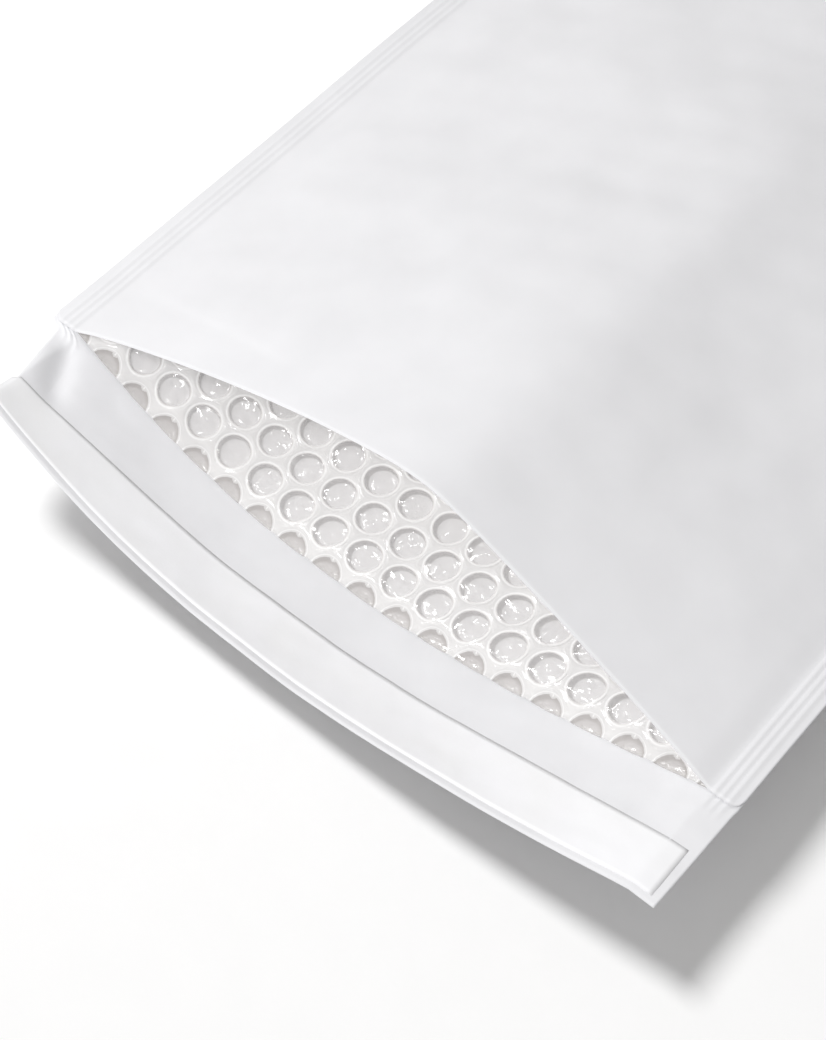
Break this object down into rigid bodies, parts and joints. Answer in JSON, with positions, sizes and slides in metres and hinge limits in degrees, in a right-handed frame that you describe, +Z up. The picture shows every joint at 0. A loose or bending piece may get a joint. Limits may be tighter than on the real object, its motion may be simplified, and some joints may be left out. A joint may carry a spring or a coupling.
{
  "type": "padded envelope",
  "caption": "Open white paper mailing envelope lined with clear bubble film, with heat-sealed side seams and a flap that carries a peel-off strip.",
  "frame": {"origin": "middle of the envelope's footprint, on the surface that it lies on", "axes": "+Y along the envelope from the flap to the closed end, +X across it to the right, +Z up through the front panel"},
  "size_m": [0.2376, 0.3908, 0.0496],
  "materials": {
    "white_paper": "matte",
    "bubble_film": "gloss",
    "adhesive": "satin",
    "liner_paper": "satin"
  },
  "bodies": {
    "root": {"paper_envelope": "white_paper", "bubble_lining": "bubble_film", "adhesive_strip": "adhesive", "release_liner": "liner_paper"}
  },
  "joints": []
}
